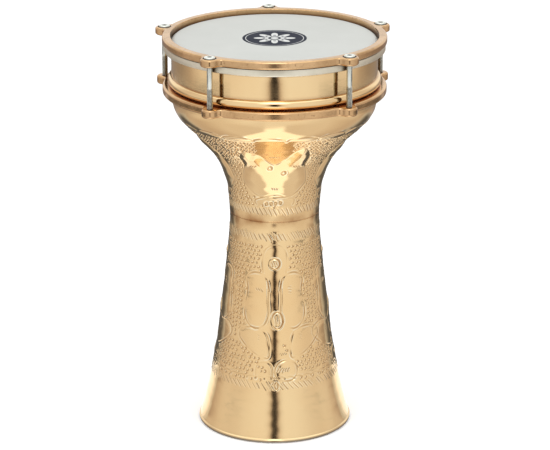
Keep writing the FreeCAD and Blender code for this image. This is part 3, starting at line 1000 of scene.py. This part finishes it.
make_stem()
make_bowl()
make_braze()
make_collar()
make_skin()
make_flesh_hoop()
for i, rod_angle in enumerate(RODS, start=1):
    make_screw(i, rod_angle)
    make_washer(i, rod_angle)
repaint("upper_hoop", cast_mat)
repaint("lower_hoop", low_cast_mat)
repaint("foot_wire", wire_mat)
repaint("flesh_hoop_resin", resin_mat)


# -------------------- stage

STAGE_R = 9.0
OTHER_RAYS = ("visible_diffuse", "visible_shadow", "visible_transmission")


def hide(obj, rays):
    for ray in rays:
        setattr(obj, ray, False)


def circle(radius, z, count=96):
    return [(radius * math.cos(t), radius * math.sin(t), z) for t in angles(count)]


def floor():
    """Pale disc just under the foot."""
    ring = circle(STAGE_R, -0.0003)
    obj = add_mesh("floor", ring, [list(range(len(ring)))])
    t = Surface("floor_mat")
    t.set("Base Color", t.ramp(t.noise(3.0, 3.0), [(0.3, 0.90), (0.7, 0.92)]))
    t.set("Roughness", 0.9)
    t.set("Specular IOR Level", 0.1)
    obj.data.materials.append(t.mat)
    hide(obj, ("visible_glossy",))


def backdrop():
    """White wall round the stage that only the camera sees."""
    rows = [circle(r, z) for r, z in ((8.9, -0.01), (8.97, 0.02), (STAGE_R, 0.15), (STAGE_R, 6.0))]
    n = len(rows[0])
    faces = [(n * k + i, n * k + (i + 1) % n, n * (k + 1) + (i + 1) % n, n * (k + 1) + i)
             for k in range(len(rows) - 1) for i in range(n)]
    obj = add_mesh("backdrop", sum(rows, []), faces)
    t = Surface("backdrop_mat")
    t.set("Base Color", (0.0, 0.0, 0.0, 1.0))
    t.set("Emission Color", t.ramp(t.noise(2.0), [(0.3, 0.975), (0.7, 0.985)]))
    t.set("Emission Strength", 1.0)
    obj.data.materials.append(t.mat)
    hide(obj, ("visible_glossy", *OTHER_RAYS))


# Brightness of the tent from the front round to the back, as (bearing / 180, level)
TENT = [(0.0, 0.93), (0.08, 0.93), (0.19, 0.91), (0.27, 0.86), (0.34, 0.80), (0.42, 0.77),
        (0.49, 0.79), (0.56, 0.76), (0.62, 0.64), (0.70, 0.48), (1.0, 0.42)]
# Darkness of the slot behind the camera, as (bearing / 20, share)
SLOT = [(0.0, 1.0), (0.17, 0.97), (0.27, 0.60), (0.37, 0.26), (0.55, 0.08), (0.80, 0.0)]


def studio():
    """Soft white tent, dimmer towards the back but bright there above the horizon. It has a dark
    slot behind the camera, a white roof, a lamp over the camera, and a darker ground with a
    bright strip down its middle."""
    world = bpy.data.worlds.new("studio")
    bpy.context.scene.world = world
    world.use_nodes = True
    t = Tree(world.node_tree, "Generated")
    x, y, z = t.xyz()
    azimuth = t.math("ABSOLUTE", t.math("ARCTAN2", x, t.math("MULTIPLY", y, -1.0)))
    bearing = t.math("MULTIPLY", azimuth, 180 / math.pi)
    height = t.math("MULTIPLY", t.math("ARCSINE", z), 180 / math.pi)

    def both(a, b):
        return t.math("MULTIPLY", a, b)

    def blend(fac, a, b):
        return t.math("ADD", both(a, t.math("SUBTRACT", 1.0, fac)), both(b, fac))

    def between(value, low, low_soft, high, high_soft):
        return both(t.above(value, low, low_soft), t.below(value, high, high_soft))

    level = t.ramp(t.math("DIVIDE", bearing, 180.0), TENT)
    shade = both(t.above(bearing, 98.0, 24.0), between(height, -20.0, 2.0, -12.5, 2.0))
    level = both(level, t.math("MULTIPLY_ADD", shade, -0.30, 1.0))
    behind = both(t.above(bearing, 120.0, 30.0), t.above(height, -3.0, 10.0))
    level = blend(behind, level, 1.02)

    down = t.math("MULTIPLY", z, -1.0)
    reach = t.math("MULTIPLY_ADD", t.above(down, 0.82, 0.22), 0.17, 0.17)
    beyond = t.math("SUBTRACT", t.math("ABSOLUTE", x), reach)
    pool = both(t.below(beyond, 0.0, 0.07), t.below(z, -0.50, 0.16))
    ground = blend(t.above(bearing, 85.0, 40.0), 0.78, 0.60)
    level = blend(t.below(height, -27.0, 8.0), level, blend(pool, ground, 1.4))

    narrow = between(height, -13.5, 2.0, -2.5, 4.0)
    wide = t.math("MULTIPLY", bearing, t.math("MULTIPLY_ADD", narrow, 0.45, 1.0))
    stripe = t.ramp(t.math("DIVIDE", wide, 20.0), SLOT)
    slot = both(both(stripe, t.below(height, 26.0, 8.0)), t.above(height, -17.6, 2.4))
    level = both(level, t.math("MULTIPLY_ADD", slot, -0.97, 1.0))
    level = blend(t.above(height, 44.0, 18.0), level, 1.35)
    lamp = both(t.below(bearing, 15.0, 12.0), between(height, 27.0, 8.0, 75.0, 10.0))
    level = blend(lamp, level, 2.4)

    warmth = t.math("MULTIPLY_ADD", level, 2.5, -1.33, clamp=True)
    back = world.node_tree.nodes["Background"]
    t.link(t.mix(warmth, (1.0, 0.86, 0.78), (1.0, 1.0, 1.0)), back.inputs["Color"])
    t.link(level, back.inputs["Strength"])


def reflector(name, bearings, start, rows, level_at):
    """Glowing card flat on the floor on both sides of the drum, seen only in reflections.
    Bearings are in degrees from the drum's front. Each row is (reach in metres at a bearing,
    level), measured from the wall of radius start that mirrors that bearing to the camera."""
    halves = [[(1, b) for b in bearings], [(-1, b) for b in bearings[::-1]]]
    if bearings[-1] >= 180:
        halves = [halves[0] + halves[1]]
    verts, faces, levels = [], [], []
    for columns in halves:
        first, n = len(verts), len(columns)
        for reach, level in rows:
            for side, b in columns:
                half, full, far = math.radians(b / 2), math.radians(b), reach(b)
                verts.append((side * (start * math.sin(half) + far * math.sin(full)),
                              -start * math.cos(half) - far * math.cos(full), 0.0006))
                levels.append(level_at(b, level))
        for row in range(len(rows) - 1):
            for i in range(n - 1):
                a = first + row * n + i
                faces.append((a, a + 1, a + n + 1, a + n))
    obj = add_mesh(name, verts, faces)
    obj.data.attributes.new("level", "FLOAT", "POINT").data.foreach_set("value", levels)
    t = Surface(name + "_mat")
    t.set("Base Color", (0.0, 0.0, 0.0, 1.0))
    t.set("Roughness", 1.0)
    t.set("Specular IOR Level", 0.0)
    t.set("Emission Color", (1.0, 0.98, 0.96, 1.0))
    uneven = t.scale_range(t.noise(8.0), 0.9, 1.1)
    t.set("Emission Strength", t.math("MULTIPLY", t.attribute("level"), uneven))
    obj.data.materials.append(t.mat)
    hide(obj, ("visible_camera", *OTHER_RAYS))


def within(value):
    return min(1.0, max(0.0, value))


def cards():
    """White card near the foot with a dark one beyond it, behind the drum, and a dark strip to
    each side that only the hoops see."""
    white, dark, dim = 1.25, 0.12, 0.45
    side_dark, plain_level = 0.08, 0.72

    def split(bearing):
        return 0.237 - 0.00215 * (bearing - 132)

    def fade_front(bearing, level):
        return level + (0.58 - level) * within((137.0 - bearing) / 12.0)

    def fade_ends(bearing, level):
        inner = within(min((bearing - 50.0) / 24.0, (150.0 - bearing) / 12.0))
        return plain_level + (level - plain_level) * inner

    reflector("cards", (122, 128, 134, 139, 145, 152, 159, 166, 173, 180), 0.060,
              [(lambda b: 0.015, white), (lambda b: split(b) - 0.01, white),
               (lambda b: split(b) + 0.01, dark), (lambda b: 0.62, dark), (lambda b: 0.80, dim)],
              fade_front)
    reflector("side_cards", (50, 58, 66, 74, 86, 98, 110, 122, 130, 138, 144, 150), 0.108,
              [(lambda b: 1.00, plain_level), (lambda b: 1.06, side_dark),
               (lambda b: 1.22, side_dark), (lambda b: 1.29, plain_level)], fade_ends)


def aim(obj, where, target):
    obj.location = where
    away = Vector(target) - Vector(where)
    obj.rotation_euler = away.to_track_quat("-Z", "Y").to_euler()
    bpy.context.scene.collection.objects.link(obj)


def softbox(name, x):
    data = bpy.data.lights.new(name, "AREA")
    data.shape = "RECTANGLE"
    data.size, data.size_y = 1.0, 1.4
    data.energy = 14.0
    obj = bpy.data.objects.new(name, data)
    aim(obj, (x, -1.1, 1.5), (0.0, 0.0, 0.2))
    hide(obj, ("visible_camera", "visible_glossy"))


def camera():
    data = bpy.data.cameras.new("camera")
    data.sensor_width = 36.0
    data.lens = 168.96
    data.shift_x = 0.00075
    data.clip_start, data.clip_end = 0.05, 50.0
    obj = bpy.data.objects.new("camera", data)
    aim(obj, (0.0, -2.4069, 1.0057), (0.0, 0.0, 0.20035))
    bpy.context.scene.camera = obj


floor()
backdrop()
studio()
cards()
softbox("softbox_left", -1.5)
softbox("softbox_right", 1.5)
camera()
bpy.context.scene.view_settings.view_transform = "Standard"
